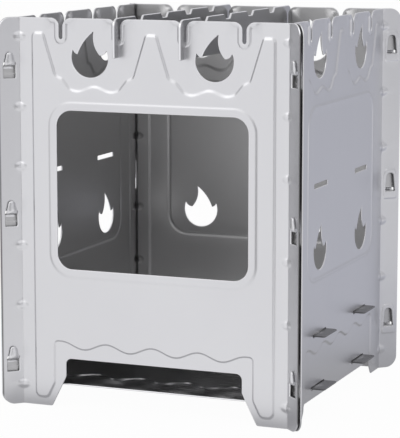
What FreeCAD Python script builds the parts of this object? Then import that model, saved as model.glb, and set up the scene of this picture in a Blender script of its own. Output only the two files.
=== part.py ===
"""Flat-pack backpacking wood stove: four hooked panels, two plates and two pot bars.

Frame: millimetres, +Z up, the front panel faces -Y, origin on the ground under the middle.
Every panel is drawn as the front one, facing -Y, and then turned about Z to its side.
"""
import FreeCAD, Part
import math
import os
import Sketcher

# Driving dimensions: name, value in millimetres, what it is
SIZES = [
    ("body_height", 200.0, "height of the four panels"),
    ("inner_width", 147.0, "clear width between the side panels"),
    ("inner_depth", 147.0, "clear depth between the front and back panels"),
    ("sheet_gauge", 0.8, "thickness of panel and plate sheet"),
    ("flange_width", 11.5, "corner flange, from the bend to its edge"),
    ("flange_gap", 1.0, "gap between two flanges that lie back to back"),
    ("flange_corner", 6.5, "rounding of the flange ends"),
    ("field_rise", 0.8, "height of the stamped field over the panel"),
    ("field_half", 65.2, "half width of the stamped field"),
    ("field_top_drop", 7.7, "top of the stamped field below the rim"),
    ("field_foot", 4.5, "bottom of the field's legs above the ground"),
    ("field_leg_inner", 54.4, "inner side of the field's legs from the middle"),
    ("field_toe_inner", 58.5, "inner side of the field's toes from the middle"),
    ("dip_offset", 31.0, "middle of each unstamped dip from the panel's middle"),
    ("dip_mouth_half", 28.2, "half width of a dip at the top"),
    ("dip_waist_half", 21.5, "half width of a dip at its waist"),
    ("dip_base_half", 14.5, "half width of a dip at its base"),
    ("dip_waist_drop", 29.0, "waist of a dip below the rim"),
    ("dip_base_drop", 35.5, "base of a dip below the rim"),
    ("wave_level", 32.7, "mean height of the wavy lower border"),
    ("wave_rise", 1.8, "height of a wave over its mean"),
    ("wave_pitch", 25.6, "length of one wave"),
    ("window_width", 103.5, "fuel window width"),
    ("window_height", 81.0, "fuel window height"),
    ("window_sill", 72.5, "fuel window sill above the ground"),
    ("window_corner", 8.0, "fuel window corner radius"),
    ("window_rim", 4.0, "width of the raised rim round the fuel window"),
    ("bead_half", 54.0, "half width of the bead round a plain panel's middle"),
    ("bead_low", 68.2, "bottom of that bead above the ground"),
    ("bead_high", 157.5, "top of that bead above the ground"),
    ("bead_corner", 12.0, "corner radius of that bead"),
    ("bead_width", 2.0, "width of that bead"),
    ("rim_rise", 0.35, "height of the rims and beads"),
    ("arch_half", 48.2, "half width of the front arch"),
    ("low_arch_half", 55.0, "half width of the other arches"),
    ("arch_toe_half", 56.3, "half width of the front arch at the ground"),
    ("low_arch_toe_half", 58.3, "half width of the other arches at the ground"),
    ("front_arch_height", 25.5, "height of the front arch"),
    ("low_arch_height", 8.0, "height of the arches of the other panels"),
    ("arch_corner", 3.0, "rounding of the arch corners"),
    ("arch_shoulder", 9.5, "top of an arch above the end of its slanted toes, front panel"),
    ("slot_outer", 49.3, "outer pot slots from the middle"),
    ("slot_inner", 17.7, "inner pot slots from the middle"),
    ("slot_width", 2.0, "pot slot width"),
    ("slot_depth", 10.7, "pot slot depth below the rim"),
    ("slot_mouth", 4.5, "rounding of the pot slot mouths"),
    ("slot_rim", 2.7, "width of the raised rim round a pot slot"),
    ("flame_height", 23.0, "height of a flame cut-out"),
    ("flame_offset", 33.5, "flame cut-outs from the middle"),
    ("flame_top_drop", 29.6, "base of the upper flames below the rim"),
    ("flame_mid_level", 73.6, "base of the middle flames above the ground"),
    ("hook_pitch", 75.9, "height from one hook to the next"),
    ("hook_base", 17.3, "bottom of the lowest hook slot"),
    ("hook_inset", 5.9, "middle of the hooks from the flange bend"),
    ("hook_width", 5.4, "hook tongue width"),
    ("hook_overlap", 5.2, "hook tip above the top of its slot"),
    ("hook_free", 0.4, "lift past the overlap, and clearance of hooks in slots"),
    ("hook_side_free", 0.4, "clearance at each side of a hook"),
    ("hook_step", 1.4, "rise of a hook as it steps through its slot"),
    ("lance_length", 10.8, "length of the opening that a hook is lanced from"),
    ("lance_side_free", 0.3, "clearance beside a hook in the opening it is lanced from"),
    ("plate_free", 0.6, "clearance of the two plates inside the panels"),
    ("tab_width", 20.0, "width of the plate tabs"),
    ("tab_reach", 7.0, "plate tabs beyond the side panels"),
    ("tab_offset", 33.0, "plate tabs from the middle"),
    ("tab_free", 0.4, "clearance over, under and beside a tab"),
    ("spare_free", 0.8, "clearance over and under a tab in the spare slots"),
    ("grate_level", 40.5, "underside of the fire grate"),
    ("tray_level", 13.2, "underside of the ash tray"),
    ("spare_level", 116.5, "underside of a plate in the spare slots"),
    ("grate_hole", 11.0, "diameter of the air holes"),
    ("grate_pitch", 24.0, "air hole spacing"),
    ("bar_gauge", 1.2, "thickness of a pot bar"),
    ("bar_rise", 0.6, "pot bar above the rim"),
    ("bar_depth", 19.8, "height of a pot bar"),
    ("bar_overhang", 6.2, "pot bar ends beyond the panels"),
    ("bar_seat", 0.55, "clearance of a pot bar over the middle of its slot's round end"),
    ("bar_free", 0.4, "clearance of a pot bar's notches on the panels and slot rims"),
    ("bar_corner", 4.5, "rounding of the pot bar ends at the top"),
    ("bar_toe", 1.0, "rounding of the pot bar ends at the bottom"),
    ("tooth_pitch", 32.7, "spacing of the dips between pot bar teeth"),
    ("tooth_mouth", 10.5, "width of those dips at the top"),
    ("tooth_floor", 6.0, "width of those dips at the bottom"),
    ("tooth_depth", 2.5, "depth of those dips"),
    ("cut_margin", 5.0, "how far open cuts run past an edge"),
]

doc = FreeCAD.newDocument("WoodStove")
sheet = doc.addObject("Spreadsheet::Sheet", "Sizes")
for row, (alias, size, meaning) in enumerate(SIZES, start=1):
    sheet.set(f"A{row}", meaning)
    sheet.set(f"B{row}", str(size))
    sheet.setAlias(f"B{row}", alias)
doc.recompute()

# Lengths that several outlines share, as expressions on the sheet
DIAGONAL = "sqrt(0.5)"
GAUGE = "Sizes.sheet_gauge"
RIM = "Sizes.body_height"
HOOK_LIFT = "(Sizes.hook_overlap + Sizes.hook_free)"
HOOK_FACE = f"(Sizes.flange_gap + {GAUGE} + Sizes.hook_free)"
HOOK_OUT = f"({HOOK_FACE} + {GAUGE})"
HOOK_SLOPE = f"(Sizes.hook_step / {HOOK_OUT})"
HOOK_THICK = f"({GAUGE} * sqrt(1 + {HOOK_SLOPE} ^ 2))"
HOOK_CROSSING = f"({HOOK_SLOPE} * (Sizes.flange_gap + 2 * {GAUGE}) + {HOOK_THICK})"
HOOK_SLOT_HEIGHT = f"({HOOK_LIFT} + {HOOK_CROSSING} + Sizes.hook_free)"
HOOK_COUNT = 3
LEFT_TURN = 1
RIGHT_TURN = -1


def number(expression):
    """The value of an expression on the sheet."""
    return float(sheet.evalExpression(expression))


def plane_of(body, role):
    return next(plane for plane in body.Origin.OriginFeatures if plane.Role == role)


def pin_to(run, mark, place):
    """Constraints, with their expressions, that hold one end of a run at its place."""
    return [(Sketcher.Constraint(kind, -1, 1, run, mark, number(expression)), expression)
            for kind, expression in zip(("DistanceX", "DistanceY"), place)]


def draw_arc(start, end, radius, turn):
    """The short arc between two points that turns the given way, and its end marks in that order."""
    chord = end - start
    reach = math.sqrt(max(radius ** 2 - chord.Length ** 2 / 4, 0))
    side = FreeCAD.Vector(-chord.y, chord.x, 0) * (turn * reach / chord.Length)
    centre = (start + end) * 0.5 + side
    first, last = (start, end) if turn == LEFT_TURN else (end, start)
    angles = [math.atan2(point.y - centre.y, point.x - centre.x) for point in (first, last)]
    circle = Part.Circle(centre, FreeCAD.Vector(0, 0, 1), radius)
    return Part.ArcOfCircle(circle, *angles), (1, 2) if turn == LEFT_TURN else (2, 1)


def draw_loop(corners, first_run):
    """Runs and pins of one closed outline.

    A corner is (across, up) or (across, up, radius, turn): with a radius, an arc that turns
    that way runs from this corner to the next one. Each corner is pinned by its expressions.
    """
    places = [FreeCAD.Vector(number(corner[0]), number(corner[1]), 0) for corner in corners]
    runs, marks, pins = [], [], []
    for index, corner in enumerate(corners):
        start = places[index]
        end = places[(index + 1) % len(places)]
        if len(corner) == 2:
            runs.append(Part.LineSegment(start, end))
            marks.append((1, 2))
        else:
            radius = number(corner[2])
            arc, arc_marks = draw_arc(start, end, radius, corner[3])
            runs.append(arc)
            marks.append(arc_marks)
            pins.append((Sketcher.Constraint("Radius", first_run + index, radius), corner[2]))
    for index, (start_mark, end_mark) in enumerate(marks):
        following = (index + 1) % len(marks)
        run = first_run + index
        join = Sketcher.Constraint("Coincident", run, end_mark, first_run + following, marks[following][0])
        pins.append((join, None))
        pins += pin_to(run, start_mark, corners[index][:2])
    return runs, pins


def draw_hole(place, diameter, run):
    """Run and pins of one round hole."""
    centre = FreeCAD.Vector(number(place[0]), number(place[1]), 0)
    size = number(diameter)
    circle = Part.Circle(centre, FreeCAD.Vector(0, 0, 1), size / 2)
    pins = [(Sketcher.Constraint("Diameter", run, size), diameter)]
    return [circle], pins + pin_to(run, 3, place)


def add_sketch(body, name, role, loops=(), lift="0", holes=()):
    """A sketch of closed outlines and holes on one of the body's own planes, lifted by an expression."""
    sketch = body.newObject("Sketcher::SketchObject", name)
    sketch.AttachmentSupport = (plane_of(body, role), [""])
    sketch.MapMode = "FlatFace"
    sketch.setExpression("AttachmentOffset.Base.z", lift)
    runs, pins = [], []
    for corners in loops:
        new_runs, new_pins = draw_loop(corners, len(runs))
        runs += new_runs
        pins += new_pins
    for place, diameter in holes:
        new_runs, new_pins = draw_hole(place, diameter, len(runs))
        runs += new_runs
        pins += new_pins
    sketch.addGeometry(runs)
    sketch.addConstraint([pin for pin, _ in pins])
    for index, (_, expression) in enumerate(pins):
        if expression:
            sketch.setExpression(f"Constraints[{index}]", expression)
    return sketch


def add_pad(body, name, sketch, length, symmetric=False):
    pad = body.newObject("PartDesign::Pad", name)
    pad.Profile = sketch
    pad.setExpression("Length", length)
    if symmetric:
        pad.SideType = "Symmetric"
    return pad


def add_pocket(body, name, sketch, length=None, reversed_cut=True):
    """Cut a sketch out of the body: right through it, or to a depth."""
    pocket = body.newObject("PartDesign::Pocket", name)
    pocket.Profile = sketch
    pocket.Reversed = reversed_cut
    if length is None:
        pocket.Type = "ThroughAll"
    else:
        pocket.setExpression("Length", length)
    return pocket


# Outlines that the panels share

def box_loop(left, right, low, high):
    return [(left, low), (right, low), (right, high), (left, high)]


def round_box_loop(half, low, high, radius):
    turn = (radius, LEFT_TURN)
    return [
        (f"{half} - {radius}", low, *turn),
        (half, f"{low} + {radius}"),
        (half, f"{high} - {radius}", *turn),
        (f"{half} - {radius}", high),
        (f"{radius} - {half}", high, *turn),
        (f"-{half}", f"{high} - {radius}"),
        (f"-{half}", f"{low} + {radius}", *turn),
        (f"{radius} - {half}", low),
    ]


def flame_loop(middle, base):
    """A three-tipped flame: a round base, two side tips and a tall tip that leans to one side."""
    tall = "Sizes.flame_height"

    def at(across, up):
        return f"{middle} + {across} * {tall}", f"{base} + {up} * {tall}"

    return [
        (*at(-0.404, 0.596), f"0.435 * {tall}", LEFT_TURN),
        (*at(0, 0), f"0.435 * {tall}", LEFT_TURN),
        (*at(0.404, 0.596), f"0.18 * {tall}", RIGHT_TURN),
        (*at(0.235, 0.485), f"0.55 * {tall}", RIGHT_TURN),
        (*at(0.09, 1), f"1.06 * {tall}", LEFT_TURN),
        (*at(-0.295, 0.5), f"0.13 * {tall}", RIGHT_TURN),
    ]


def pot_slot_loop(middle):
    """A pot slot, open at the rim, with a rounded mouth and a round end."""
    half = "Sizes.slot_width / 2"
    mouth = f"({half} + Sizes.slot_mouth)"
    throat = f"{RIM} - Sizes.slot_mouth"
    floor = f"{RIM} - Sizes.slot_depth"
    over = f"{RIM} + Sizes.cut_margin"
    return [
        (f"{middle} - {mouth}", RIM, "Sizes.slot_mouth", RIGHT_TURN),
        (f"{middle} - {half}", throat),
        (f"{middle} - {half}", f"{floor} + {half}", half, LEFT_TURN),
        (middle, floor, half, LEFT_TURN),
        (f"{middle} + {half}", f"{floor} + {half}"),
        (f"{middle} + {half}", throat, "Sizes.slot_mouth", RIGHT_TURN),
        (f"{middle} + {mouth}", RIM),
        (f"{middle} + {mouth}", over),
        (f"{middle} - {mouth}", over),
    ]


def slot_rim_loop(middle):
    """The outside of the raised rim round a pot slot."""
    reach = "(Sizes.slot_width / 2 + Sizes.slot_rim)"
    top = f"{RIM} - Sizes.slot_mouth"
    floor = f"{RIM} - Sizes.slot_depth - Sizes.slot_rim"
    return [
        (f"{middle} - {reach}", f"{floor} + {reach}", reach, LEFT_TURN),
        (middle, floor, reach, LEFT_TURN),
        (f"{middle} + {reach}", f"{floor} + {reach}"),
        (f"{middle} + {reach}", top),
        (f"{middle} - {reach}", top),
    ]


def arch_loop(half, toe, height, shoulder):
    """The arch between a panel's feet, open at the ground, with slanted toes."""
    corner = "Sizes.arch_corner"
    low = "-Sizes.cut_margin"
    return [
        (f"-{toe}", low),
        (toe, low),
        (toe, "0"),
        (half, shoulder),
        (half, f"{height} - {corner}", corner, LEFT_TURN),
        (f"{half} - {corner}", height),
        (f"{corner} - {half}", height, corner, LEFT_TURN),
        (f"-{half}", f"{height} - {corner}"),
        (f"-{half}", shoulder),
        (f"-{toe}", "0"),
    ]


def field_loop(inset):
    """The stamped field: two legs, a wavy lower border and two dips under the flames."""
    half = f"Sizes.field_half - {inset}"
    top = f"{RIM} - Sizes.field_top_drop - {inset}"
    foot = f"Sizes.field_foot + {inset}"
    toe = f"Sizes.field_toe_inner + {inset}"
    leg = f"Sizes.field_leg_inner + {inset}"
    knee = f"Sizes.field_foot + 2 * (Sizes.field_toe_inner - Sizes.field_leg_inner) + {inset}"
    wave = f"Sizes.wave_level + {inset}"
    quarter = "Sizes.wave_pitch / 4"
    wave_radius = f"(({quarter}) ^ 2 + Sizes.wave_rise ^ 2) / (2 * Sizes.wave_rise)"
    waist = f"{RIM} - Sizes.dip_waist_drop - {inset}"
    base = f"{RIM} - Sizes.dip_base_drop - {inset}"
    corners = [(f"-({half})", foot), (f"-({toe})", foot), (f"-({leg})", knee), (f"-({leg})", wave)]
    for step in range(-7, 7, 2):
        turn = LEFT_TURN if step % 4 == 1 else RIGHT_TURN
        corners.append((f"{step} * {quarter}", wave, wave_radius, turn))
    corners += [(f"7 * {quarter}", wave), (leg, wave), (leg, knee), (toe, foot), (half, foot), (half, top)]
    for side in ("", "-"):
        middle = f"{side}Sizes.dip_offset"
        corners += [
            (f"{middle} + Sizes.dip_mouth_half + {inset}", top),
            (f"{middle} + Sizes.dip_waist_half + {inset}", waist),
            (f"{middle} + Sizes.dip_base_half + {inset}", base),
            (f"{middle} - Sizes.dip_base_half - {inset}", base),
            (f"{middle} - Sizes.dip_waist_half - {inset}", waist),
            (f"{middle} - Sizes.dip_mouth_half - {inset}", top),
        ]
    corners.append((f"-({half})", top))
    return corners


# Panels

class Panel:
    """One folded and stamped sheet, drawn facing -Y, with a flange at each end."""

    def __init__(self, label, span, depth, turn):
        self.body = doc.addObject("PartDesign::Body", label)
        self.body.Label = label
        self.turn = turn
        self.standoff = f"{depth} / 2"
        self.bend = f"({span} / 2 - Sizes.flange_gap * {DIAGONAL})"
        self.add_sheet()
        self.add_field()
        for name, side in (("Right", ""), ("Left", "-")):
            middles = [f"{side}Sizes.slot_outer", f"{side}Sizes.slot_inner"]
            self.raise_rim(f"{name}SlotRims", [slot_rim_loop(middle) for middle in middles], GAUGE)
            self.cut(f"{name}Slots", [pot_slot_loop(middle) for middle in middles])
        self.cut("TopFlames", self.flame_pair(f"{RIM} - Sizes.flame_top_drop"))
        self.cut("FlangeCorners", self.flange_corner_loops())

    def add_sheet(self):
        """The folded section, run up the whole height."""
        reach = f"Sizes.flange_width * {DIAGONAL}"
        thick = f"{GAUGE} * {DIAGONAL}"
        face = f"-{self.standoff}"
        half_section = [
            (self.bend, face),
            (f"{self.bend} + {reach}", f"{face} - {reach}"),
            (f"{self.bend} + {reach} - {thick}", f"{face} - {reach} - {thick}"),
            (f"{self.bend} - {GAUGE} * (sqrt(2) - 1)", f"{face} - {GAUGE}"),
        ]
        mirrored = [(f"-({across})", up) for across, up in reversed(half_section)]
        sketch = add_sketch(self.body, "Section", "XY_Plane", [half_section + mirrored])
        add_pad(self.body, "Sheet", sketch, RIM)

    def add_field(self):
        """The stamped field, proud outside and hollow inside."""
        outside = add_sketch(self.body, "FieldOutline", "XZ_Plane", [field_loop("0")],
                             f"{self.standoff} + {GAUGE}")
        add_pad(self.body, "Field", outside, "Sizes.field_rise")
        inside = add_sketch(self.body, "HollowOutline", "XZ_Plane", [field_loop(GAUGE)], self.standoff)
        add_pocket(self.body, "FieldHollow", inside, "Sizes.field_rise")

    def raise_rim(self, name, loops, base):
        """Raise a rim or bead on the face that stands this far outside the panel's inner face."""
        sketch = add_sketch(self.body, f"{name}Outline", "XZ_Plane", loops, f"{self.standoff} + {base}")
        add_pad(self.body, name, sketch, "Sizes.rim_rise")

    def add_bead(self):
        """The bead round the middle of a panel that has no window."""
        inset = "Sizes.bead_width"
        outer = round_box_loop("Sizes.bead_half", "Sizes.bead_low", "Sizes.bead_high", "Sizes.bead_corner")
        inner = round_box_loop(f"(Sizes.bead_half - {inset})", f"Sizes.bead_low + {inset}",
                               f"Sizes.bead_high - {inset}", f"(Sizes.bead_corner - {inset})")
        self.raise_rim("Bead", [outer, inner], f"{GAUGE} + Sizes.field_rise")

    def cut(self, name, loops):
        sketch = add_sketch(self.body, f"{name}Outline", "XZ_Plane", loops)
        add_pocket(self.body, name, sketch)

    def flame_pair(self, base):
        return [flame_loop(f"{side}Sizes.flame_offset", base) for side in ("", "-")]

    def flange_corner_loops(self):
        """What the rounding takes off the four flange ends."""
        tip = f"({self.bend} + Sizes.flange_width * {DIAGONAL})"
        start = f"({tip} - Sizes.flange_corner * {DIAGONAL})"
        past = f"({tip} + Sizes.cut_margin)"
        radius = "0.85 * Sizes.flange_corner"
        over = f"{RIM} + Sizes.cut_margin"
        under = "-Sizes.cut_margin"
        loops = []
        for mirror in (LEFT_TURN, RIGHT_TURN):
            sign = "" if mirror == LEFT_TURN else "-"
            rim_corner = f"{RIM} - Sizes.flange_corner"
            loops.append([(f"{sign}{tip}", rim_corner, radius, mirror), (f"{sign}{start}", RIM),
                          (f"{sign}{start}", over), (f"{sign}{past}", over), (f"{sign}{past}", rim_corner)])
            loops.append([(f"{sign}{tip}", "Sizes.flange_corner", radius, -mirror), (f"{sign}{start}", "0"),
                          (f"{sign}{start}", under), (f"{sign}{past}", under),
                          (f"{sign}{past}", "Sizes.flange_corner")])
        return loops

    def flange_boxes(self, half_width, bottom, height):
        """Openings in both flanges, one at each hook, cut front to back through the slanted sheet."""
        near = f"({self.bend} + (Sizes.hook_inset - {half_width} - {GAUGE}) * {DIAGONAL})"
        far = f"({self.bend} + (Sizes.hook_inset + {half_width}) * {DIAGONAL})"
        loops = []
        for index in range(HOOK_COUNT):
            low = f"Sizes.hook_base + {index} * Sizes.hook_pitch + {bottom}"
            loops.append(box_loop(near, far, low, f"{low} + {height}"))
            loops.append(box_loop(f"-{far}", f"-{near}", low, f"{low} + {height}"))
        return loops

    def add_hook_slots(self):
        self.cut("HookSlots", self.flange_boxes("(Sizes.hook_width / 2 + Sizes.hook_side_free)",
                                                "0", HOOK_SLOT_HEIGHT))

    def add_hooks(self):
        """Tongues lanced from the flanges, stepped out through the neighbour's slots."""
        self.cut("Lances", self.flange_boxes("(Sizes.hook_width / 2 + Sizes.lance_side_free)",
                                             HOOK_LIFT, "Sizes.lance_length"))
        for name, toward, angle in (("RightHooks", "", 45), ("LeftHooks", "-", -45)):
            loops = [self.hook_loop(index, toward) for index in range(HOOK_COUNT)]
            sketch = add_sketch(self.body, f"{name}Outline", "XZ_Plane", loops,
                                f"{self.standoff} + Sizes.hook_inset * {DIAGONAL}")
            sketch.AttachmentOffset = FreeCAD.Placement(
                FreeCAD.Vector(), FreeCAD.Rotation(FreeCAD.Vector(0, 1, 0), angle))
            sketch.setExpression("AttachmentOffset.Base.x",
                                 f"{toward}({self.bend} + Sizes.hook_inset * {DIAGONAL})")
            add_pad(self.body, name, sketch, "Sizes.hook_width", symmetric=True)

    def hook_loop(self, index, toward):
        """Side view of one hook: rooted in its flange, a step, then an upright tip."""
        root = f"Sizes.hook_base + {index} * Sizes.hook_pitch + {HOOK_LIFT}"
        tip = f"Sizes.hook_base + {index} * Sizes.hook_pitch + {HOOK_SLOT_HEIGHT} + Sizes.hook_overlap"
        foot = f"{root} - {GAUGE}"
        return [
            (f"{toward}(-{GAUGE})", foot),
            (f"{toward}(0)", foot),
            (f"{toward}(0)", root),
            (f"{toward}({HOOK_OUT})", f"{root} + Sizes.hook_step"),
            (f"{toward}({HOOK_OUT})", tip),
            (f"{toward}({HOOK_FACE})", tip),
            (f"{toward}({HOOK_FACE})", f"{root} + Sizes.hook_step + {HOOK_THICK}"),
            (f"{toward}(-{GAUGE})", f"{root} + {HOOK_THICK}"),
        ]

    def add_tab_slots(self):
        """Slots for the tabs of the grate and the tray, and spare ones higher up."""
        half = "(Sizes.tab_width / 2 + Sizes.tab_free)"
        loops = []
        for name, free in (("tray", "tab_free"), ("grate", "tab_free"), ("spare", "spare_free")):
            low = f"Sizes.{name}_level - Sizes.{free}"
            high = f"Sizes.{name}_level + {GAUGE} + Sizes.{free}"
            for side in ("", "-"):
                middle = f"{side}Sizes.tab_offset"
                loops.append(box_loop(f"{middle} - {half}", f"{middle} + {half}", low, high))
        self.cut("TabSlots", loops)

    def add_low_arch(self):
        """The low arch of a panel that has no window."""
        self.cut("Arch", [arch_loop("Sizes.low_arch_half", "Sizes.low_arch_toe_half",
                                    "Sizes.low_arch_height", "Sizes.low_arch_height * 0.6")])

    def place(self):
        self.body.Placement = FreeCAD.Placement(
            FreeCAD.Vector(), FreeCAD.Rotation(FreeCAD.Vector(0, 0, 1), self.turn))
        return self.body


def make_front_panel():
    panel = Panel("front_panel", "Sizes.inner_width", "Sizes.inner_depth", 0)
    half = "Sizes.window_width / 2"
    sill = "Sizes.window_sill"
    lintel = "Sizes.window_sill + Sizes.window_height"
    rim = "Sizes.window_rim"
    rim_loop = round_box_loop(f"({half} + {rim})", f"{sill} - {rim}", f"{lintel} + {rim}",
                              f"(Sizes.window_corner + {rim})")
    panel.raise_rim("WindowRim", [rim_loop], f"{GAUGE} + Sizes.field_rise")
    panel.cut("Window", [round_box_loop(half, sill, lintel, "Sizes.window_corner")])
    panel.cut("Arch", [arch_loop("Sizes.arch_half", "Sizes.arch_toe_half", "Sizes.front_arch_height",
                                 "Sizes.front_arch_height - Sizes.arch_shoulder")])
    panel.add_hook_slots()
    return panel.place()


def make_back_panel():
    panel = Panel("back_panel", "Sizes.inner_width", "Sizes.inner_depth", 180)
    panel.add_bead()
    panel.cut("MiddleFlames", panel.flame_pair("Sizes.flame_mid_level"))
    panel.add_low_arch()
    panel.add_hook_slots()
    return panel.place()


def make_side_panel(label, turn):
    panel = Panel(label, "Sizes.inner_depth", "Sizes.inner_width", turn)
    panel.add_bead()
    panel.cut("MiddleFlames", panel.flame_pair("Sizes.flame_mid_level"))
    panel.add_low_arch()
    panel.add_tab_slots()
    panel.add_hooks()
    return panel.place()


# Plates

def make_plate(label, level):
    """A flat plate with two tabs at each side, through the side panels."""
    body = doc.addObject("PartDesign::Body", label)
    body.Label = label
    side = "(Sizes.inner_width / 2 - Sizes.plate_free)"
    end = "(Sizes.inner_depth / 2 - Sizes.plate_free)"
    tip = f"(Sizes.inner_width / 2 + {GAUGE} + Sizes.tab_reach)"
    tab = "Sizes.tab_width / 2"
    right = [(side, f"-{end}")]
    for sign in ("-", ""):
        middle = f"{sign}Sizes.tab_offset"
        right += [(side, f"{middle} - {tab}"), (tip, f"{middle} - {tab}"),
                  (tip, f"{middle} + {tab}"), (side, f"{middle} + {tab}")]
    right.append((side, end))
    left = [(f"-{across}", along) for across, along in reversed(right)]
    sketch = add_sketch(body, "Outline", "XY_Plane", [right + left], level)
    add_pad(body, "Plate", sketch, GAUGE)
    return body


def make_grate():
    """The plate that the fire lies on, with five rows of air holes."""
    body = make_plate("fire_grate", "Sizes.grate_level")
    places = [(f"{column} * Sizes.grate_pitch", f"{row} * Sizes.grate_pitch")
              for column in range(-2, 3) for row in range(-2, 3)]
    holes = add_sketch(body, "HoleOutlines", "XY_Plane",
                       holes=[(place, "Sizes.grate_hole") for place in places])
    add_pocket(body, "AirHoles", holes)
    return body


# Pot bars

def make_pot_bar(label, side):
    """A toothed bar in the inner pot slots, with lips outside the front and back panels."""
    body = doc.addObject("PartDesign::Body", label)
    body.Label = label
    top = f"({RIM} + Sizes.bar_rise)"
    bottom = f"({top} - Sizes.bar_depth)"
    inner = "Sizes.inner_depth / 2"
    seat = f"{RIM} - Sizes.slot_depth + Sizes.bar_seat"
    end = f"({inner} + {GAUGE} + Sizes.bar_overhang)"
    outer_wall = f"({inner} + {GAUGE} + Sizes.rim_rise + Sizes.bar_free)"
    inner_wall = f"({inner} - Sizes.bar_free)"
    corner = "Sizes.bar_corner"
    toe = "Sizes.bar_toe"
    half_under = [(inner_wall, bottom), (inner_wall, seat), (outer_wall, seat), (outer_wall, bottom)]
    mirrored = [(f"-{along}", up) for along, up in reversed(half_under)]
    corners = [(f"{toe} - {end}", bottom)] + mirrored + half_under
    corners += [
        (f"{end} - {toe}", bottom, toe, LEFT_TURN), (end, f"{bottom} + {toe}"),
        (end, f"{top} - {corner}", corner, LEFT_TURN), (f"{end} - {corner}", top),
    ]
    for place in (1.5, 0.5, -0.5, -1.5):
        middle = f"{place} * Sizes.tooth_pitch"
        floor = f"{top} - Sizes.tooth_depth"
        corners += [
            (f"{middle} + Sizes.tooth_mouth / 2", top), (f"{middle} + Sizes.tooth_floor / 2", floor),
            (f"{middle} - Sizes.tooth_floor / 2", floor), (f"{middle} - Sizes.tooth_mouth / 2", top),
        ]
    corners += [
        (f"{corner} - {end}", top, corner, LEFT_TURN), (f"-{end}", f"{top} - {corner}"),
        (f"-{end}", f"{bottom} + {toe}", toe, LEFT_TURN),
    ]
    sketch = add_sketch(body, "Profile", "YZ_Plane", [corners], f"{side}Sizes.slot_inner")
    add_pad(body, "Bar", sketch, "Sizes.bar_gauge", symmetric=True)
    return body


pieces = [
    make_front_panel(),
    make_back_panel(),
    make_side_panel("right_panel", 90),
    make_side_panel("left_panel", -90),
    make_grate(),
    make_plate("ash_tray", "Sizes.tray_level"),
    make_pot_bar("pot_bar_left", "-"),
    make_pot_bar("pot_bar_right", ""),
]
doc.recompute()

for item in doc.Objects:
    faults = [state for state in item.State if state in ("Invalid", "Error")]
    if faults:
        raise RuntimeError(f"{item.Label}: {faults}")
for piece in pieces:
    if piece.Shape.isNull() or not piece.Shape.isValid() or len(piece.Shape.Solids) != 1:
        raise RuntimeError(f"{piece.Label} is not one valid solid")

os.makedirs("parts", exist_ok=True)
for piece in pieces:
    piece.Shape.exportStep(f"parts/{piece.Label}.step")
    box = piece.Shape.BoundBox
    print(f"{piece.Label}: {piece.Shape.Volume:.0f} mm3, "
          f"x {box.XMin:.1f} to {box.XMax:.1f}, y {box.YMin:.1f} to {box.YMax:.1f}, "
          f"z {box.ZMin:.1f} to {box.ZMax:.1f}")
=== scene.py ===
"""The looks of a flat-pack wood stove: four stamped steel panels, two plates and two pot bars."""

import math

import bmesh
import bpy
import numpy as np
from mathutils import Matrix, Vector
from mathutils.geometry import delaunay_2d_cdt
from mathutils.kdtree import KDTree


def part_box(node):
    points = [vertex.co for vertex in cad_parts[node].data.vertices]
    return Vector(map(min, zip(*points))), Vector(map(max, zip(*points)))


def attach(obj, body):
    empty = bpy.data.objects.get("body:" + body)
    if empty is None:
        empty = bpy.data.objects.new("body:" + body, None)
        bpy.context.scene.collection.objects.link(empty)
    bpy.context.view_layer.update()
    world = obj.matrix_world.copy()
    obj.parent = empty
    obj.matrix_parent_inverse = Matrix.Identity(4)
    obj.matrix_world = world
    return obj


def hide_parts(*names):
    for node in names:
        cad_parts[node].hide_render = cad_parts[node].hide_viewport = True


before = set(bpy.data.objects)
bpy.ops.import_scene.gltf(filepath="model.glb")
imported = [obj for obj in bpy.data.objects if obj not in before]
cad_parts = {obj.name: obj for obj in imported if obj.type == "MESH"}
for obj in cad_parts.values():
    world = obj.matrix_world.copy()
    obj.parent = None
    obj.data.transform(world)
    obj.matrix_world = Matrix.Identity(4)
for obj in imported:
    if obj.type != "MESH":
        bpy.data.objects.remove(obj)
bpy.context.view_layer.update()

MM = 0.001
LOWEST, HIGHEST = range(2)
ALONG, UP = 1, 2


def edge_of(cad_node, corner, axis):
    """Where a CAD node starts or ends along an axis, in millimetres."""
    return round(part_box(cad_node)[corner][axis] / MM, 2)


# Sizes in millimetres, from the frame or as in the part's source
BODY_HEIGHT = edge_of("front_panel", HIGHEST, UP)
INNER_HALF = -edge_of("front_panel", HIGHEST, ALONG)
GAUGE = 0.8
FLANGE_WIDTH = 11.5
FLANGE_GAP = 1.0
FLANGE_CORNER = 6.5
BEND_RADIUS = 1.6
BEND_ANGLE = math.radians(45)
EDGE_ROUND = 0.25
# How far in from a flange tip the tip is painted dark as shade
TIP_SHADE_REACH = 0.7

FIELD_RISE = 0.75
FIELD_SLOPE = 0.62
FIELD_HALF = 65.2
FIELD_TOP_DROP = 7.7
FIELD_FOOT = 4.5
FIELD_LEG_INNER = 54.4
FIELD_TOE_INNER = 58.5
FIELD_KNEE = 12.7
FIELD_ROUND = 3.0
FIELD_KNEE_ROUND = 5.0
FIELD_TOP_ROUND = 2.0
WAVE_LEVEL = 32.8
WAVE_RISE = 1.8
WAVE_PITCH = 25.2
WAVES_EACH_WAY = 2
DIP_OFFSET = 31.0
DIP_MOUTH_HALF = 28.2
DIP_WAIST_HALF = 21.5
DIP_STEP_HALF = 17.7
DIP_BASE_HALF = 13.6
DIP_WAIST_DROP = 29.0
DIP_STEP_DROP = 30.6
DIP_BASE_DROP = 35.3
DIP_MOUTH_ROUND = 1.6
DIP_ROUND = 1.8
DIP_WAVE_RISE = 1.25
DIP_WAVE_PITCH = 18.6
DIP_LEVEL = 150.0
DIP_STRETCH = 0.46

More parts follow.
